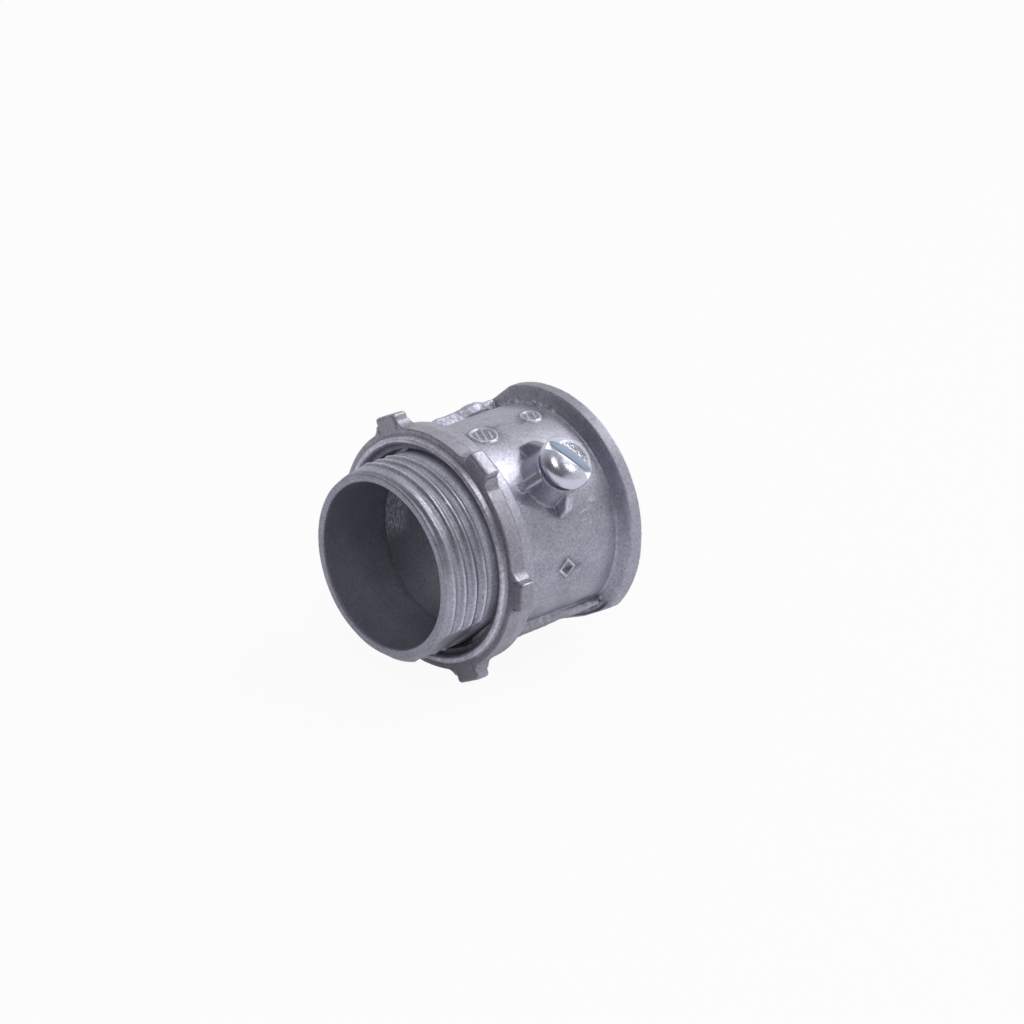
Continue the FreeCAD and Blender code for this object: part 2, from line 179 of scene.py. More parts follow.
def at_radius(points, radius):
    """The same points at another radius about X."""
    moved = points.copy()
    moved[:, 1:] *= (radius / np.maximum(np.hypot(points[:, 1], points[:, 2]), 1e-6))[:, None]
    return moved


# %% Helpers for smooth steps
def step_up(low, high, value):
    """0 below low, 1 above high, and a smooth rise between."""
    share = np.clip((value - low) / (high - low), 0, 1)
    return share * share * (3 - 2 * share)


def band(value, rise_from, rise_to, fall_from, fall_to):
    """0 outside a band of values, 1 in its middle, and a smooth rise and fall between."""
    return step_up(rise_from, rise_to, value) * step_up(fall_to, fall_from, value)


def close_to(distance, near, far):
    """1 up to near on either side of zero, and 0 beyond far."""
    return step_up(far, near, np.abs(distance))


def from_turn(turn, centre):
    """Degrees from centre, between -180 and 180."""
    return (turn - centre + 180) % 360 - 180


def roughness_field(points, size, seed):
    """A smooth random value near -1 to 1 at each point, with lumps of about that size."""
    random = np.random.default_rng(seed)
    total = np.zeros(len(points))
    waves = 14
    for _ in range(waves):
        direction = random.normal(size=3)
        direction *= math.tau / (size * random.uniform(1.0, 2.6)) / np.linalg.norm(direction)
        total += np.sin(points @ direction + random.uniform(0, math.tau))
    return total / math.sqrt(waves / 2) / 2


# %% [markdown]
# Wear and painted light follow the form: an edge stands out from the mean of its neighbours, and a
# hollow lies below it. That difference is kept on the mesh, where the finish reads it to lighten
# edges as wear and painted highlight, and to darken hollows as painted shade.


# %% Helpers for masks
def keep_mask(piece, name, values):
    """Stores one number for each vertex, which a finish can read by that name."""
    mask = piece.data.attributes.new(name, "FLOAT", "POINT")
    mask.data.foreach_set("value", np.clip(values, 0, 1).astype(np.float32))


def neighbour_mean(piece, values):
    """The mean of each vertex's neighbours, for one number or one point per vertex."""
    pairs = np.empty(len(piece.data.edges) * 2, dtype=np.int32)
    piece.data.edges.foreach_get("vertices", pairs)
    start = np.concatenate([pairs[0::2], pairs[1::2]])
    end = np.concatenate([pairs[1::2], pairs[0::2]])
    count = np.maximum(np.bincount(start, minlength=len(values)), 1)
    columns = values.reshape(len(values), -1).T
    sums = [np.bincount(start, weights=column[end], minlength=len(values)) for column in columns]
    return (np.array(sums) / count).T.reshape(values.shape)


def mark_wear_and_shade(piece, edge_gain, hollow_gain):
    """Finds the edges that handling polishes, which also get a painted highlight, and the hollows,
    which get painted shade.
    """
    points, normals = read_points(piece)
    bulge = ((points - neighbour_mean(piece, points)) * normals).sum(axis=1)
    for _ in range(2):
        bulge = (bulge + neighbour_mean(piece, bulge)) / 2
    _, radius, _ = place_of(points)
    outside = step_up(15.2, 15.5, radius)
    keep_mask(piece, "wear_and_highlight", bulge * edge_gain * outside)
    keep_mask(piece, "hollow_shade", -bulge * hollow_gain)


# %% Helpers for the end of a piece
def thin(piece, faces_at_most):
    """Turns the mesh into triangles, and into fewer of them if there are too many."""
    pick(piece)
    bpy.ops.object.mode_set(mode="EDIT")
    bpy.ops.mesh.select_all(action="SELECT")
    bpy.ops.mesh.quads_convert_to_tris()
    bpy.ops.object.mode_set(mode="OBJECT")
    share = faces_at_most / len(piece.data.polygons)
    if share < 1:
        apply_modifier(piece, "DECIMATE", ratio=share)


def finish_piece(piece, body, node):
    """Scales the piece to metres, and sets it on its CAD body in place of its node."""
    pick(piece)
    piece.scale = (MILLIMETRE,) * 3
    bpy.ops.object.transform_apply(location=False, rotation=False, scale=True)
    bpy.ops.object.shade_smooth()
    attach(piece, body)
    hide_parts(node)
    print(piece.name, "has", len(piece.data.polygons), "triangles")


# %% [markdown]
# The casting starts as a turned blank: nose, shoulder, barrel and flange in one closed
# profile, spun about the axis. Straight cutters take the flats off the nose and the flange,
# and one more trims the flange beside the vent.

# %% Turn the blank of the casting
NOSE_TIP, NOSE_RADIUS, THREAD_END, NECK = -12.65, 16.5, -4, 16.2
BARREL, COLLAR, FLANGE, FLANGE_BACK = 17.6, 20.1, 20.63, 25.8
THROAT, SOCKET, STOP = 13.9, 14.95, 0.85
blank = turned("casting", [
    (NOSE_TIP, 0, THROAT + 0.25), (NOSE_TIP, 0, 15.2), (-11.5, 0, 16.2), (-10.9, 0, NOSE_RADIUS),
    (THREAD_END, 0, NOSE_RADIUS), (THREAD_END, 0, NECK), (0, 0, NECK), (0, 0, COLLAR),
    (2.0, 0, COLLAR), (2.3, 0, COLLAR - 0.35), (2.3, 0, BARREL + 0.7), (2.5, 0, BARREL + 0.22),
    (2.95, 0, BARREL), (22.7, 0, BARREL + 0.3), (23.7, 0, FLANGE), (FLANGE_BACK, 0, FLANGE),
    (FLANGE_BACK, 0, SOCKET + 0.5), (FLANGE_BACK - 0.5, 0, SOCKET), (STOP, 0, SOCKET),
    (STOP, 0, THROAT), (NOSE_TIP + 0.25, 0, THROAT),
])
print("blank:", len(blank.data.polygons), "faces")

# %% Cut the flats of nose and flange
SCREW_TURN = 43
NOSE_FLAT = 15.35
FLANGE_FLATS = [(SCREW_TURN + 102.5, 19.6), (SCREW_TURN + 110, 19.42), (SCREW_TURN - 88, 19.75)]
for turn in (SCREW_TURN + 90, SCREW_TURN - 90):
    take_away(blank, block("nose_flat", (-15, -20, NOSE_FLAT), (0, 20, 19), turn))
for turn, distance in FLANGE_FLATS:
    take_away(blank, block("flange_flat", (22.72, -24, distance), (28, 24, 24), turn))
print("flats:", 2 + len(FLANGE_FLATS))

# %% [markdown]
# The boss is a drafted cone with a hole for the set screw, and four gussets lean against it.
# Their edges have a knee halfway up. All are extruded from one outline, and the two that lie
# across the connector's axis have a slightly longer foot, because the barrel curves away there.

# %% Boss with its hole
BOSS_AT, BOSS_TOP, BOSS_FOOT, SCREW_HOLE = 11.55, 22.0, 16.2, 2.48
boss = turned("boss", [
    (0, 0, BOSS_FOOT), (4.75, 0, BOSS_FOOT), (4.2, 0, BOSS_TOP), (0, 0, BOSS_TOP),
], axis=(0, 0, 1), steps=96)
bpy.ops.object.select_all(action="DESELECT")
bpy.ops.mesh.primitive_cylinder_add(vertices=64, radius=SCREW_HOLE, depth=20, location=(0, 0, 20))
take_away(boss, bpy.context.object)
print("boss:", len(boss.data.polygons), "faces")

# %% Gussets
GUSSET_HALF, GUSSET_TOP, LONGER_FOOT = 0.85, 21.7, 0.55
gussets = []
for quarter in range(4):
    reach = LONGER_FOOT * (quarter % 2)
    outline = [(6.3 + reach, BOSS_FOOT), (5.95 + reach, 19.0), (4.2, GUSSET_TOP),
               (SCREW_HOLE + 0.6, GUSSET_TOP), (SCREW_HOLE + 0.6, BOSS_FOOT)]
    mesh = bpy.data.meshes.new("gusset")
    mesh.from_pydata([(x, -GUSSET_HALF, z) for x, z in outline], [], [range(len(outline))])
    gusset = bpy.data.objects.new("gusset", mesh)
    bpy.context.scene.collection.objects.link(gusset)
    pick(gusset)
    bpy.ops.object.mode_set(mode="EDIT")
    bpy.ops.mesh.select_all(action="SELECT")
    bpy.ops.mesh.extrude_region_move(TRANSFORM_OT_translate={"value": (0, 2 * GUSSET_HALF, 0)})
    bpy.ops.object.mode_set(mode="OBJECT")
    tidy(gusset)
    apply_modifier(gusset, "BEVEL", width=0.42, segments=3)
    gusset.rotation_euler = (0, 0, math.radians(90 * quarter))
    bpy.ops.object.transform_apply(location=False, rotation=True, scale=False)
    gussets.append(gusset)
print("gussets:", len(gussets))


# %% Set the boss on the barrel, and open the barrel below it
def stand_on_barrel(piece):
    """Moves an upright piece to the boss's place, and leans it to the screw's turn."""
    pick(piece)
    piece.location = (BOSS_AT, 0, 0)
    bpy.ops.object.transform_apply(location=True, rotation=False, scale=False)
    piece.rotation_euler = (math.radians(SCREW_TURN), 0, 0)
    bpy.ops.object.transform_apply(location=False, rotation=True, scale=False)


for piece in [boss, *gussets]:
    stand_on_barrel(piece)
bpy.ops.object.select_all(action="DESELECT")
bpy.ops.mesh.primitive_cylinder_add(
    vertices=64, radius=SCREW_HOLE, depth=12, location=outward(SCREW_TURN, 17, BOSS_AT),
    rotation=(math.radians(SCREW_TURN), 0, 0))
take_away(blank, bpy.context.object)
print("blank with its screw hole:", len(blank.data.polygons), "faces")

# %% [markdown]
# Gate and vent left a flat pad each, where they were broken off and trimmed. A voxel remesh
# then makes one skin of all the solids and rounds every corner a little, which is how zinc
# fills a mould, and which no bevel could follow over so many crossings.

# %% Pads of the gate and the vent, and one skin for the casting
GATE_TURN, VENT_TURN = SCREW_TURN - 97, SCREW_TURN + 97
PAD_START, PAD_END, PAD_HALF, PAD_FOOT = 1.2, 23.6, 4.3, 16.3
pads = []
for name, pad_turn, top in (("gate", GATE_TURN, 19.3), ("vent", VENT_TURN, 18.42)):
    pad = block(name, (PAD_START, -PAD_HALF, PAD_FOOT), (PAD_END, PAD_HALF, top), pad_turn)
    apply_modifier(pad, "BEVEL", width=0.3, segments=2)
    pads.append(pad)
casting = cast_as_one("casting", [blank, boss, *gussets, *pads], grain=0.16, smoothing=2)
print("casting skin:", len(casting.data.polygons), "faces")

# %% [markdown]
# The nose carries a coarse right-hand pipe thread, 11.5 threads to the inch. On a fine skin it
# can be pressed in directly: each point of the nose moves in to the thread's radius at its own
# X and turn. Where a flat already lies deeper than the thread, nothing moves, so the thread
# runs out at the flats by itself, as it does on the real casting.

# %% Thread of the nose
PITCH = 25.4 / 11.5
THREAD_DEPTH = 0.8
CREST_AT, CREST_TURN = -9.5, 46


def thread_height(across, turn):
    """1 on the crest of the nose's thread and 0 at its root."""
    lap = (across - CREST_AT) / PITCH - (turn - CREST_TURN) / 360
    rise = np.abs((lap % 1) - 0.5) * 2
    return 0.2 * step_up(0.0, 0.6, rise) + 0.8 * step_up(0.62, 0.95, rise)


points, normals = read_points(casting)
across, radius, turn = place_of(points)
near_flat = np.minimum(np.abs(from_turn(turn, SCREW_TURN + 90)),
                       np.abs(from_turn(turn, SCREW_TURN - 90)))
depth = THREAD_DEPTH * (0.7 + 0.3 * step_up(18, 40, near_flat))
runout = step_up(-3.1, -4.3, across)
root = 1 - thread_height(across, turn)
on_nose = (across < -2.9) & (radius > 14.8)
radius = np.where(on_nose, np.minimum(radius, NOSE_RADIUS - depth * root * runout), radius)
tapered_lead = band(across, -12.5, -12.2, -11.3, -10.9)
radius -= 0.2 * tapered_lead * root * on_nose
write_points(casting, at_radius(points, radius))
apply_modifier(casting, "SMOOTH", factor=0.5, iterations=1)
print("turns of thread:", round((THREAD_END - NOSE_TIP) / PITCH, 1))

# %% [markdown]
# The pads are rough. The gate's pad slopes, with a hump near the flange. The vent's pad swells
# towards the flange and is hollow at its end, and it tore a hollow into the flange's front.
# Small burrs stand on the barrel's edge under the flange.

# %% Rough pads and burrs
points, normals = read_points(casting)
across, radius, turn = place_of(points)


def pad_top(across, radius, turn, pad_turn):
    """1 on the trimmed top of one pad."""
    middle = close_to(from_turn(turn, pad_turn), 13, 15.5)
    return middle * step_up(17.9, 18.3, radius) * band(across, 2.4, 2.8, 22.9, 23.4)


def shaded_hollow(across, radius, turn):
    """1 in the hollow of the flange's front where the vent was broken off, also painted dark as
    shadow.
    """
    slab = band(across, 22.2, 22.4, 23.2, 23.6)
    return band(radius, 18.3, 18.7, 19.6, 20.0) * slab * band(turn, 123, 130, 160, 168)


on_gate = pad_top(across, radius, turn, GATE_TURN)
on_vent = pad_top(across, radius, turn, VENT_TURN)
lumps = roughness_field(points, size=1.1, seed=3) + 0.6 * roughness_field(points, size=0.5, seed=4)
points += normals * (lumps * (0.045 * on_gate + 0.06 * on_vent))[:, None]
sunk = 0.42 * step_up(12.5, 6.0, across) - 0.55 * step_up(14.0, 18.5, across)
sunk += 0.5 * step_up(19.0, 21.8, across)
points -= normals * (sunk * on_gate)[:, None]
pocket = band(across, 17.5, 18.3, 22.2, 22.8) * step_up(141, 145, turn)
swell = step_up(12, 20, across) * step_up(143, 136, turn)
points += normals * ((0.3 * swell - 0.8 * pocket) * on_vent)[:, None]
points -= normals * (0.5 * shaded_hollow(across, radius, turn))[:, None]
edge = np.exp(-((across - 22.6) / 0.35) ** 2) * band(radius, 17.2, 17.5, 18.0, 18.6)
burrs = np.maximum(roughness_field(points, size=0.8, seed=7), 0) * edge
points += normals * (0.5 * burrs * band(turn, -52, -40, 4, 12))[:, None]
print("points on the pads:", int((on_gate + on_vent > 0.5).sum()))

# %% [markdown]
# Three plain raised marks came from the mould: two rings with bars in them, and a diamond.

# %% Raised marks from the mould
MARK_HEIGHT = 0.26
MARKS = [(7.85, 3.3, 2.2, 3), (18.7, 2.1, 1.6, 2), (11.65, 92.2, 1.5, 0)]


def ring_mark(over, around, size, bars):
    """A raised ring with a few raised bars inside."""
    from_centre = np.hypot(over, around)
    spacing = 1.5 * size / bars
    slanted = (over + 0.5 * around) / 1.12 + spacing * (bars % 2) / 2
    on_bar = close_to((slanted % spacing) - spacing / 2, 0.1, 0.24)
    within = step_up(size * 0.75, size * 0.62, from_centre)
    return np.maximum(close_to(from_centre - size, 0.12, 0.3), on_bar * within)


def mould_marks(across, radius, turn):
    """1 on the raised lines of all marks, and 1 in the narrow band round each mark."""
    raised = np.zeros(len(across))
    edging = np.zeros(len(across))
    for mark_x, mark_turn, size, bars in MARKS:
        over, around = across - mark_x, np.radians(from_turn(turn, mark_turn)) * BARREL
        if bars:
            away = np.hypot(over, around)
            lines = ring_mark(over, around, size, bars)
        else:
            away = np.abs(over) + np.abs(around)
            lines = close_to(away - size, 0.18, 0.4)
        raised = np.maximum(raised, lines)
        edging = np.maximum(edging, close_to(away - size - 0.5, 0.05, 0.3))
    outside = step_up(17.0, 17.4, radius)
    return raised * outside, edging * outside


raised, _ = mould_marks(across, radius, turn)
points += normals * (MARK_HEIGHT * raised)[:, None]
points += normals * (0.025 * roughness_field(points, size=4.0, seed=11))[:, None]
write_points(casting, points)
thin(casting, faces_at_most=190000)
print("marks:", len(MARKS))

# %% [markdown]
# What the finish needs to know about places is stored on the mesh as masks: edges that
# handling has polished and that carry a painted highlight, hollows darkened with painted shade,
# and a tone for each region, which in many regions paints light and shade. First come the
# bore darkened with painted shade, with a painted pool of light on its rough patch, the fronts
# with painted shade, and the neck behind the nut, brightened with painted light.

# %% Tone, painted shade and painted light of bore, fronts and neck
mark_wear_and_shade(casting, edge_gain=9, hollow_gain=8)
points, normals = read_points(casting)
across, radius, turn = place_of(points)
tone_and_light = np.full(len(points), 0.52)
bore = step_up(15.35, 15.1, radius) * band(across, -12.62, -12.45, 25.0, 25.4)
# Painted shade: the bore is darker, with a darker line at the stop's edge. Beyond the stop a painted
# pool of light lies on a rough patch of the socket wall.
tone_and_light -= 0.34 * bore
tone_and_light -= 0.12 * bore * np.exp(-((across - 0.7) / 0.22) ** 2)
lit_rough_patch = band(across, STOP, 1.0, 4.6, 7.2) * close_to(from_turn(turn, -88), 12, 26) * bore
# Painted shade darkens the flange's front, more so further out, and painted light brightens it
# between turn 60 and 125.
front = step_up(-0.6, -0.85, normals[:, 0]) * step_up(22.0, 22.5, across)
front *= step_up(17.4, 17.8, radius)
shade = 0.03 + 0.09 * step_up(18.6, 19.6, radius)
tone_and_light -= shade * front * step_up(20.4, 19.9, radius)
tone_and_light += 0.12 * front * band(turn, 60, 90, 115, 125)
# Painted shade dims the flange rim's highlight round turn 10.
rim = step_up(20.3, 20.5, radius) * band(across, 23.2, 23.6, 25.5, 25.7)
tone_and_light -= 0.13 * rim * close_to(from_turn(turn, 10), 30, 55)
# Painted light brightens the neck behind the nut, which lies in the nut's shade.
under_nut = band(across, -4.6, -4.1, -0.5, -0.1) * step_up(15.2, 15.4, radius)
tone_and_light += 0.2 * under_nut
# Painted shade darkens the nose's tip face.
tone_and_light -= 0.09 * step_up(-12.2, -12.5, across) * (1 - bore)
# Painted shadow darkens the hollow in the flange's front beside the vent.
tone_and_light -= 0.46 * shaded_hollow(across, radius, turn)
print("mean tone:", round(float(tone_and_light.mean()), 3))


# %% Tone, painted highlights, painted shade and painted light of pads, marks, thread and boss
def pad_skin(across, radius, turn, pad_turn):
    """1 on all of one pad, with its sides."""
    middle = close_to(from_turn(turn, pad_turn), 15, 17)
    return step_up(17.8, 18.1, radius) * middle * step_up(22.9, 22.6, across)


# Painted highlight on the barrel between the collar and the boss.
painted_highlight = close_to(from_turn(turn, 33), 10, 26) * band(across, 2.4, 3.4, 6.0, 10.5)
tone_and_light += 0.2 * painted_highlight * step_up(17.3, 17.6, radius)
on_gate = pad_skin(across, radius, turn, GATE_TURN)
on_vent = pad_skin(across, radius, turn, VENT_TURN)
lumps = roughness_field(points, size=0.7, seed=5) + 0.6 * roughness_field(points, size=0.4, seed=6)
tone_and_light += (0.05 * lumps - 0.14 + 0.16 * step_up(18.0, 19.5, across)) * on_gate
tone_and_light += (0.07 * lumps - 0.1) * on_vent
raised, edging = mould_marks(across, radius, turn)
# Painted highlight on the raised lines of the marks, and painted shadow in the band round each mark.
tone_and_light += 0.16 * raised - 0.14 * edging
# Painted highlight along the crests of the nose's thread.
crest = step_up(0.72, 1.0, thread_height(across, turn)) * step_up(15.9, 16.1, radius)
tone_and_light += 0.16 * crest * step_up(-4.0, -4.4, across)
# Painted shade darkens the boss and its gussets.
on_boss = step_up(17.9, 18.5, radius) * close_to(across - BOSS_AT, 6.6, 7.4)
tone_and_light -= 0.08 * on_boss * close_to(from_turn(turn, SCREW_TURN), 23, 27)
# Painted light brightens the side of the lower gusset, which lies in shade.
lower_gusset = close_to(across - BOSS_AT, 1.0, 1.4) * band(turn, 54, 57, 66, 69)
tone_and_light += 0.34 * on_boss * lower_gusset
print("mean tone:", round(float(tone_and_light.mean()), 3))

# %% Light scratches, and the masks of the casting
SCRATCHES = [(16.9, 63, 17.5, 66), (17.0, 69, 17.6, 73), (18.4, 60, 18.7, 64.5),
             (14.2, 74, 14.7, 78), (15.9, 69.5, 16.3, 71), (11.9, 84, 12.3, 86.5),
             (19.2, 52, 19.3, 55)]
scratched = np.zeros(len(points))
for start_x, start_turn, end_x, end_turn in SCRATCHES:
    run = np.array([end_x - start_x, math.radians(end_turn - start_turn) * BARREL])
    away = np.stack([across - start_x, np.radians(turn - start_turn) * BARREL], axis=1)
    share = np.clip(away @ run / (run @ run), 0, 1)
    gap = np.linalg.norm(away - share[:, None] * run, axis=1)
    scratched = np.maximum(scratched, step_up(0.2, 0.05, gap))
keep_mask(casting, "tone_and_light", tone_and_light + 0.3 * scratched * (radius > 17.3))
keep_mask(casting, "dull", np.maximum(np.maximum(bore, under_nut), 0.4 * rim))
keep_mask(casting, "lit_rough_patch", lit_rough_patch)
finish_piece(casting, "connector", "connector_body")

# %% [markdown]
# The locknut is a ring with six lugs and a raised lip round its thread. The ring is turned, and
# the lugs are blocks set round it. A remesh blends them, and the rim is then lifted beside each
# lug, so that the lugs join the ring in hollow curves. The bore gets the nose's thread.

# %% Ring and lugs of the locknut
NUT_BORE, NUT_RADIUS, NUT_THICKNESS, LUG_TIP, LUG_HALF = 16.58, 20.25, 2.9, 22.5, 2.55
BORE_FRONT = -2.3
ring = turned("locknut", [
    (0, 0, NUT_BORE), (BORE_FRONT, 0, NUT_BORE), (-2.45, 0, 17.5), (-3.6, 0, 17.95),
    (-3.82, 0, 18.12), (-3.87, 0, 18.4), (-3.75, 0, 18.72), (-3.4, 0, 18.98),
    (-NUT_THICKNESS, 0, 19.25), (-NUT_THICKNESS, 0, NUT_RADIUS - 0.3),
    (-NUT_THICKNESS + 0.3, 0, NUT_RADIUS), (-0.25, 0, NUT_RADIUS), (0, 0, NUT_RADIUS - 0.25),
])
lugs = []
for number in range(6):
    lug = block("lug", (-NUT_THICKNESS, -LUG_HALF, 17.4), (0, LUG_HALF, LUG_TIP), 30 + 60 * number)
    apply_modifier(lug, "BEVEL", width=0.55, segments=4)
    lugs.append(lug)
locknut = cast_as_one("locknut", [ring, *lugs], grain=0.12, smoothing=4)
print("locknut skin:", len(locknut.data.polygons), "faces")

# %% Hollow roots and thread of the locknut
ROOT_LENGTH, ROOT_HEIGHT, NUT_GROOVE = 1.7, 1.2, 0.4
points, normals = read_points(locknut)
across, radius, turn = place_of(points)
from_lug = np.radians(np.abs(turn % 60 - 30)) * radius
root = np.maximum(0, ROOT_LENGTH - (from_lug - 2.5)) * (from_lug > 2.4) / ROOT_LENGTH
hollow = NUT_RADIUS + ROOT_HEIGHT * root ** 2.2
on_rim = (radius > NUT_RADIUS - 0.25) & (from_lug > 2.45) & (radius < hollow)
radius = np.where(on_rim, hollow, radius)
lap = (across + 0.4) / PITCH - turn / 360
groove = NUT_GROOVE * (1 - step_up(0.1, 0.9, np.abs((lap % 1) - 0.5) * 2))
in_bore = (radius < 17.0) & (across > BORE_FRONT)
points = at_radius(points, np.where(in_bore, radius + groove, radius))
points += normals * (0.02 * roughness_field(points, size=3.0, seed=21))[:, None]
write_points(locknut, points)
apply_modifier(locknut, "SMOOTH", factor=0.5, iterations=4)
thin(locknut, faces_at_most=120000)
print("lugs:", len(lugs))

# %% Masks of the locknut
mark_wear_and_shade(locknut, edge_gain=8, hollow_gain=10)
points, normals = read_points(locknut)
across, radius, turn = place_of(points)
# Painted shade: the nut's front and its inside are darker, most on the side turned away from the
# light at turn -35.
towards_light = np.cos(np.radians(from_turn(turn, -35)))
away = 0.5 - 0.5 * towards_light
front = step_up(-0.6, -0.9, normals[:, 0]) * step_up(-2.6, -2.8, across)
lip = step_up(-3.2, -3.6, across)
inside = step_up(18.2, 17.8, radius)
tone_and_light = 0.46 - (0.13 - 0.08 * towards_light) * front
tone_and_light += (0.38 + 0.12 * roughness_field(points, size=0.6, seed=23)) * lip
tone_and_light -= (0.1 + 0.24 * away + 0.05 * roughness_field(points, size=0.8, seed=24)) * inside
keep_mask(locknut, "tone_and_light", tone_and_light)
keep_mask(locknut, "dull", inside)
finish_piece(locknut, "nut", "locknut")

# %% [markdown]
# The set screw has a low head with one slot, nearly flat on top and round at its sides, and a
# fully threaded shank with a short point. The slot's far side is burred from use.

# %% Turn the set screw and cut its slot
SEAT, SHANK_END, SCREW_RADIUS, SCREW_PITCH, SCREW_GROOVE = 23.4, 15.46, 2.415, 1.058, 0.42
HEAD_RADIUS, HEAD_HEIGHT, HEAD_RIM, HEAD_CURVE, HEAD_STEPS = 4.6, 2.6, 0.15, 0.65, 24
SLOT_WIDTH, SLOT_DEPTH, SLOT_TURN = 1.7, 1.5, -57
profile = [(0, 0, SHANK_END), (SCREW_RADIUS - 0.5, 0, SHANK_END), (SCREW_RADIUS, 0, SHANK_END + 0.5),
           (SCREW_RADIUS, 0, SEAT), (HEAD_RADIUS - 0.1, 0, SEAT), (HEAD_RADIUS, 0, SEAT + 0.1)]
for number in range(HEAD_STEPS + 1):
    angle = math.pi / 2 * (1 - number / HEAD_STEPS)
    profile.append((HEAD_RADIUS * math.sin(angle) ** HEAD_CURVE, 0,
                    SEAT + HEAD_RIM + (HEAD_HEIGHT - HEAD_RIM) * math.cos(angle)))
screw = turned("set_screw", profile, axis=(0, 0, 1), steps=160)
bpy.ops.object.select_all(action="DESELECT")
bpy.ops.mesh.primitive_cube_add(
    size=1, location=(0, 0, SEAT + HEAD_HEIGHT), scale=(12, SLOT_WIDTH, 2 * SLOT_DEPTH))
slot_cutter = bpy.context.object
bpy.ops.object.transform_apply(location=True, rotation=False, scale=True)
slot_cutter.rotation_euler = (0, 0, math.radians(SLOT_TURN))
bpy.ops.object.transform_apply(location=False, rotation=True, scale=False)
take_away(screw, slot_cutter)
screw = cast_as_one("set_screw", [screw], grain=0.075, smoothing=5)
print("screw skin:", len(screw.data.polygons), "faces")

# %% Thread of the set screw, and its place
points, normals = read_points(screw)
shank_radius = np.hypot(points[:, 0], points[:, 1])
lap = points[:, 2] / SCREW_PITCH - np.degrees(np.arctan2(points[:, 1], points[:, 0])) / 360
groove = SCREW_GROOVE * (1 - step_up(0.1, 0.9, np.abs((lap % 1) - 0.5) * 2))
groove *= step_up(SEAT - 0.1, SEAT - 0.7, points[:, 2])
on_shank = points[:, 2] < SEAT - 0.05
new_radius = np.where(on_shank, np.minimum(shank_radius, SCREW_RADIUS - groove), shank_radius)
points[:, :2] *= (new_radius / np.maximum(shank_radius, 1e-6))[:, None]
write_points(screw, points)
stand_on_barrel(screw)
thin(screw, faces_at_most=70000)
print("turns of thread:", round((SEAT - SHANK_END) / SCREW_PITCH, 1))

# %% Masks of the set screw
mark_wear_and_shade(screw, edge_gain=20, hollow_gain=20)
points, normals = read_points(screw)
height = points @ outward(SCREW_TURN)
local = points - np.outer(height, outward(SCREW_TURN)) - (BOSS_AT, 0, 0)
from_axis = np.linalg.norm(local, axis=1)
lean = Matrix.Rotation(math.radians(SCREW_TURN), 3, "X")
side = lean @ Matrix.Rotation(math.radians(SLOT_TURN), 3, "Z") @ Vector((0, 1, 0))
over_slot = local @ np.array(side)
in_slot = close_to(over_slot, 0.88, 0.98) * step_up(SEAT + 0.6, SEAT + 0.8, height)
scuffed = step_up(0.85, 1.0, over_slot) * step_up(2.9, 2.5, from_axis)
scuffed *= step_up(SEAT + 0.2, SEAT + 0.4, height)
burr = band(over_slot, 0.8, 0.9, 1.1, 1.35) * step_up(2.9, 2.4, from_axis)
burr *= step_up(SEAT + 1.9, SEAT + 2.1, height)
keep_mask(screw, "slot", in_slot)
keep_mask(screw, "scuffed", scuffed)
keep_mask(screw, "burr", burr)
finish_piece(screw, "screw", "set_screw")

# %% [markdown]
# Finishes are shader nodes, written as sums. The class below wraps a socket, so that adding or
# multiplying two of them adds the Math node that does it.


# %% Helpers for finishes
class Value:
    """A socket of a shader tree. Arithmetic on values adds Math nodes."""

    def __init__(self, finish, socket):
        self.finish = finish
        self.socket = socket

    def _maths(self, operation, first, second):
        return self.finish.add("ShaderNodeMath", {"operation": operation}, {0: first, 1: second})

    def __add__(self, other):
        return self._maths("ADD", self, other)

    __radd__ = __add__

    def __mul__(self, other):
        return self._maths("MULTIPLY", self, other)

    def __sub__(self, other):
        return self._maths("SUBTRACT", self, other)

    def __rsub__(self, other):
        return self._maths("SUBTRACT", other, self)


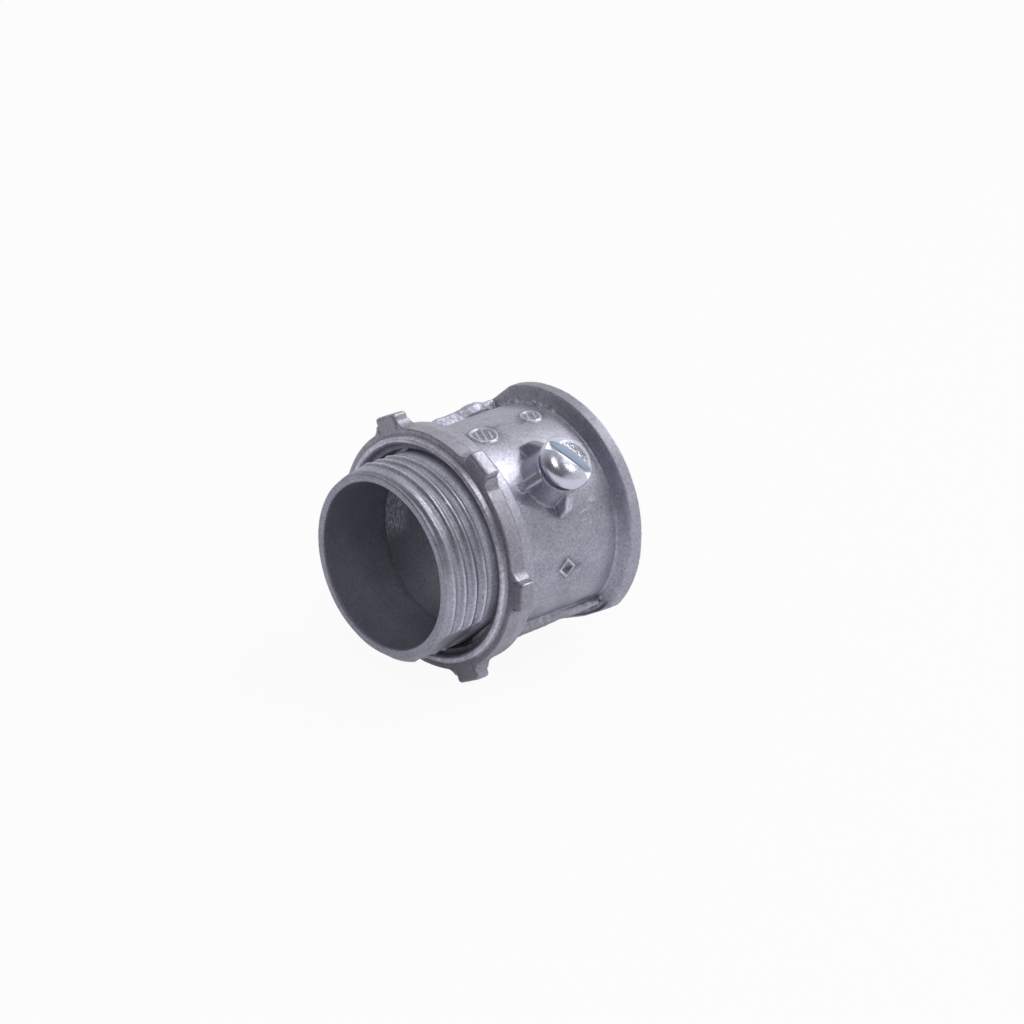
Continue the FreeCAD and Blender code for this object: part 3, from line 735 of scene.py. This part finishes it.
class Finish:
    """A material and the nodes that it is made of."""

    def __init__(self, name):
        self.material = bpy.data.materials.new(name)
        self.material.use_nodes = True
        self.tree = self.material.node_tree
        self.shader = self.tree.nodes["Principled BSDF"]
        self.place = self.add("ShaderNodeTexCoord", {}, {}, "Object")

    def add(self, kind, settings, inputs, output=0):
        """One node with its settings and inputs. Returns one of its outputs."""
        node = self.tree.nodes.new(kind)
        for name, value in settings.items():
            if name == "stops":
                elements = node.color_ramp.elements
                for number, (position, colour) in enumerate(value):
                    stop = elements[number] if number < 2 else elements.new(position)
                    stop.position = position
                    stop.color = colour
            else:
                setattr(node, name, value)
        for name, value in inputs.items():
            if isinstance(value, Value):
                self.tree.links.new(value.socket, node.inputs[name])
            else:
                node.inputs[name].default_value = value
        return Value(self, node.outputs[output])

    def noise(self, size, detail=4.0, where=None, roughness=0.55):
        """Noise with features of about that size in millimetres."""
        return self.add("ShaderNodeTexNoise", {}, {
            "Vector": where or self.place, "Scale": 1 / (size * MILLIMETRE), "Detail": detail,
            "Roughness": roughness}, "Fac")

    def mask(self, name):
        """A mask that is stored on the mesh."""
        return self.add("ShaderNodeAttribute", {"attribute_name": name}, {}, "Fac")

    def ramp(self, value, *stops):
        """A grey ramp over a value: pairs of position and level."""
        return self.add("ShaderNodeValToRGB", {
            "stops": [(position, (level, level, level, 1)) for position, level in stops]},
            {"Fac": value})

    def ray(self, kind):
        """1 for rays of that kind, and 0 for all others."""
        return self.add("ShaderNodeLightPath", {}, {}, f"Is {kind} Ray")

    def blend(self, factor, first, second):
        """A colour between two."""
        return self.add("ShaderNodeMix", {"data_type": "RGBA"}, {0: factor, 6: first, 7: second}, 2)

    def put(self, **sockets):
        """Sets or links the shader's own sockets."""
        for name, value in sockets.items():
            socket = self.shader.inputs[name.replace("_", " ")]
            if isinstance(value, Value):
                self.tree.links.new(value.socket, socket)
            else:
                socket.default_value = value

    def bump(self, height, depth):
        """Relief of that depth in millimetres."""
        self.put(Normal=self.add("ShaderNodeBump", {}, {
            "Strength": 1.0, "Distance": depth * MILLIMETRE, "Height": height}, "Normal"))

    def dress(self, piece):
        """Puts this finish alone on a piece."""
        piece.data.materials.clear()
        piece.data.materials.append(self.material)


# %% [markdown]
# Raw zinc from the mould is a soft grey with a faint blue cast. It is cloudy and mottled, with
# fine specks and small dark pits. Painted shade darkens the hollows, and handling polishes the
# edges, which also get a painted highlight. A painted pool of light with bright streaks that run
# round the bore lies on its rough patch.


# %% Cast zinc
def cast_metal(name, dark, light, rough, grain_depth):
    """A finish for raw castings, between a dark and a light colour."""
    finish = Finish(name)
    clouds = finish.ramp(finish.noise(5.0, detail=6.0), (0.36, 0.0), (0.66, 1.0))
    mottle = finish.ramp(finish.noise(0.45, detail=4.0, roughness=0.65), (0.36, 0.0), (0.64, 1.0))
    pits = finish.ramp(finish.noise(0.2, detail=2.0), (0.60, 0.0), (0.72, 1.0))
    specks = finish.ramp(finish.noise(0.24, detail=2.0, roughness=0.7), (0.38, 0.0), (0.62, 1.0))
    wear_and_highlight, hollow_shade, tone_and_light = finish.mask("wear_and_highlight"), finish.mask("hollow_shade"), finish.mask("tone_and_light")
    dull, lit_rough_patch = finish.mask("dull"), finish.mask("lit_rough_patch")
    drawn = finish.add("ShaderNodeMapping", {}, {"Vector": finish.place, "Scale": (1, 0.3, 0.3)})
    streaks = finish.noise(0.22, detail=3.0, where=drawn, roughness=0.7)
    streaks = finish.ramp(streaks, (0.46, 0.0), (0.62, 1.0))
    # The stored tone carries painted light and shade of many regions as well as the metal's own
    # tone.
    level = tone_and_light * (0.56 + clouds * 0.24 + mottle * 0.3 + specks * 0.3 - pits * 0.22)
    # Edges are lightened as wear and painted highlight, hollows are darkened as painted shade, and a
    # painted pool of light with streaks lies on the bore's rough patch.
    level = level + wear_and_highlight * 0.4 - tone_and_light * hollow_shade * (0.7 - dull * 0.5) + lit_rough_patch * (0.1 + streaks * 0.6)
    finish.put(Base_Color=finish.blend(level, dark, light), Metallic=0.9 - dull * 0.6)
    finish.put(Roughness=rough + hollow_shade * 0.2 + dull * 0.2 - wear_and_highlight * 0.12 + clouds * 0.08
               - mottle * 0.1)
    grain = finish.noise(0.2, detail=3.0, roughness=0.6)
    waves = finish.noise(1.4, detail=3.0)
    finish.bump(grain * 0.5 + waves * 0.5 - pits * 0.2, grain_depth)
    return finish


zinc = cast_metal("cast_zinc", dark=(0.035, 0.038, 0.06, 1), light=(0.82, 0.82, 0.95, 1),
                  rough=0.42, grain_depth=0.045)
zinc.dress(casting)
nut_zinc = cast_metal("nut_zinc", dark=(0.042, 0.037, 0.04, 1), light=(0.80, 0.79, 0.91, 1),
                      rough=0.40, grain_depth=0.05)
nut_zinc.dress(locknut)
print("cast zinc:", len(zinc.tree.nodes), "nodes")

# %% [markdown]
# The set screw's zinc plate is bright, with a faint wipe in it. The part of its head beside the
# slot is scuffed dark, with small bright sparks, and the slot's burred edge is white.

# %% Bright plated steel
steel = Finish("plated_steel")
wipe = steel.noise(0.9, detail=4.0)
scuffed, in_slot = steel.mask("scuffed"), steel.mask("slot")
scuffs = steel.ramp(steel.noise(0.28, detail=3.0), (0.42, 0.0), (0.6, 1.0)) * scuffed
burr = steel.ramp(steel.noise(0.4, detail=2.0), (0.44, 0.0), (0.52, 1.0)) * steel.mask("burr")
sparks = steel.ramp(steel.noise(0.3, detail=2.0, roughness=0.7), (0.56, 0.0), (0.62, 1.0)) * scuffed
plate = steel.blend(wipe, (0.66, 0.67, 0.80, 1), (0.83, 0.84, 0.98, 1))
plate = steel.blend(scuffed * 0.85, plate, (0.17, 0.18, 0.22, 1))
plate = steel.blend(in_slot * 0.9, plate, (0.78, 0.84, 0.93, 1))
# Edges are whitened as wear and painted highlight.
plate = steel.blend(steel.mask("wear_and_highlight") * 0.6, plate, (0.91, 0.92, 1, 1))
plate = steel.blend(burr + sparks * 0.7, plate, (1, 1, 1, 1))
dim = steel.ramp(wipe, (0.4, 0.0), (0.75, 1.0))
steel.put(Base_Color=plate, Metallic=1.0)
steel.put(Roughness=0.24 + dim * 0.08 + in_slot * 0.15 + burr * 0.3)
steel.bump(steel.noise(1.2, detail=2.0) * 0.05 + scuffs, 0.05)
steel.dress(screw)
print("plated steel:", len(steel.tree.nodes), "nodes")

# %% [markdown]
# The studio is a pale floor in a grey room. The floor and the world look white to the camera.
# Reflections show a dark room with a light wall behind the part, and with a paler patch low at
# its near side, which gives the metal its contrast.

# %% Floor
floor_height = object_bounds()[0].z - 0.05 * MILLIMETRE
bpy.ops.object.select_all(action="DESELECT")
bpy.ops.mesh.primitive_plane_add(size=6, location=(0, 0, floor_height))
floor = bpy.context.object
floor.name = "floor"
paint = Finish("floor_paint")
paint.put(Base_Color=(0.8, 0.8, 0.81, 1), Roughness=0.9)
seen = paint.ray("Camera") + paint.ray("Transmission")
mirrored = paint.ray("Glossy")
glow = paint.add("ShaderNodeEmission", {}, {"Color": (1, 1, 1, 1), "Strength": 1.0})
output = paint.tree.nodes["Material Output"]
cover = paint.add("ShaderNodeMixShader", {}, {
    0: seen * 0.94 + mirrored * 0.3, 1: Value(paint, paint.shader.outputs[0]), 2: glow})
paint.tree.links.new(cover.socket, output.inputs["Surface"])
paint.dress(floor)
print("floor at", round(floor_height * 1000, 2), "mm")

# %% World
world = bpy.data.worlds.new("studio")
bpy.context.scene.world = world
world.use_nodes = True


class Studio(Finish):
    """The world's own shader tree."""

    def __init__(self, tree):
        self.tree = tree
        self.place = self.add("ShaderNodeTexCoord", {}, {}, "Generated")

    def towards(self, direction):
        """How far a ray points in that direction."""
        return self.add("ShaderNodeVectorMath", {"operation": "DOT_PRODUCT"},
                        {0: self.place, 1: direction}, "Value")


studio = Studio(world.node_tree)
seen = studio.ray("Camera") + studio.ray("Transmission")
mirrored = studio.ray("Glossy")
towards_wall = studio.towards((0.6, 0.6, 0.35))
towards_side = studio.towards((0.45, -0.75, -0.6))
wall = studio.ramp(towards_wall * 0.8 + 0.2, (0.0, 0.1), (0.45, 0.4), (0.95, 0.85))
wall = wall + studio.ramp(towards_side, (0.42, 0.0), (0.52, 0.42))
room = studio.add("ShaderNodeBackground", {}, {"Color": (0.42, 0.42, 0.455, 1)})
white = studio.add("ShaderNodeBackground", {}, {"Color": (1, 1, 1, 1)})
around = studio.add("ShaderNodeBackground", {}, {"Color": wall})
metal_sees = studio.add("ShaderNodeMixShader", {}, {0: mirrored, 1: room, 2: around})
everything = studio.add("ShaderNodeMixShader", {}, {0: seen, 1: metal_sees, 2: white})
studio.tree.links.new(everything.socket, studio.tree.nodes["World Output"].inputs["Surface"])
print("world:", len(studio.tree.nodes), "nodes")

# %% [markdown]
# Three round lamps light the part: a large one above it and behind, a smaller one high over the
# camera, and the smallest to the camera's right. Small lamps give the screw short highlights.


# %% Lamps
def softbox(name, direction, distance, size, power):
    """A round lamp in that direction from the part, facing it."""
    lamp = bpy.data.lights.new(name, "AREA")
    lamp.shape = "DISK"
    lamp.size = size
    lamp.energy = power
    item = bpy.data.objects.new(name, lamp)
    bpy.context.scene.collection.objects.link(item)
    item.location = Vector(direction).normalized() * distance
    item.rotation_euler = Vector(direction).to_track_quat("Z", "Y").to_euler()


softbox("lamp_above", (0.634, -0.15, 0.75), distance=0.9, size=0.5, power=2.0)
softbox("lamp_left", (-0.37, -0.414, 0.83), distance=0.8, size=0.25, power=1.05)
softbox("lamp_right", (0.42, -0.65, 0.63), distance=0.8, size=0.11, power=0.34)
print("lamps:", len(bpy.data.lights))

# %% [markdown]
# The camera has a long lens and stands a little over half a metre away, above the part and
# between its nose and its near side.

# %% Camera
SENSOR_WIDTH = 36
FOCAL_LENGTH_IN_PIXELS, PICTURE_WIDTH = 3500, 1024
camera = bpy.data.objects.new("camera", bpy.data.cameras.new("camera"))
bpy.context.scene.collection.objects.link(camera)
camera.location = (-0.34880, -0.36665, 0.25315)
camera.rotation_euler = [math.radians(angle) for angle in (63.9844, -2.7572, -43.5275)]
camera.data.sensor_width = SENSOR_WIDTH
camera.data.lens = FOCAL_LENGTH_IN_PIXELS / PICTURE_WIDTH * SENSOR_WIDTH
camera.data.clip_start = 0.01
bpy.context.scene.camera = camera
bpy.context.scene.view_settings.view_transform = "Standard"
print("lens:", round(camera.data.lens, 1), "mm")
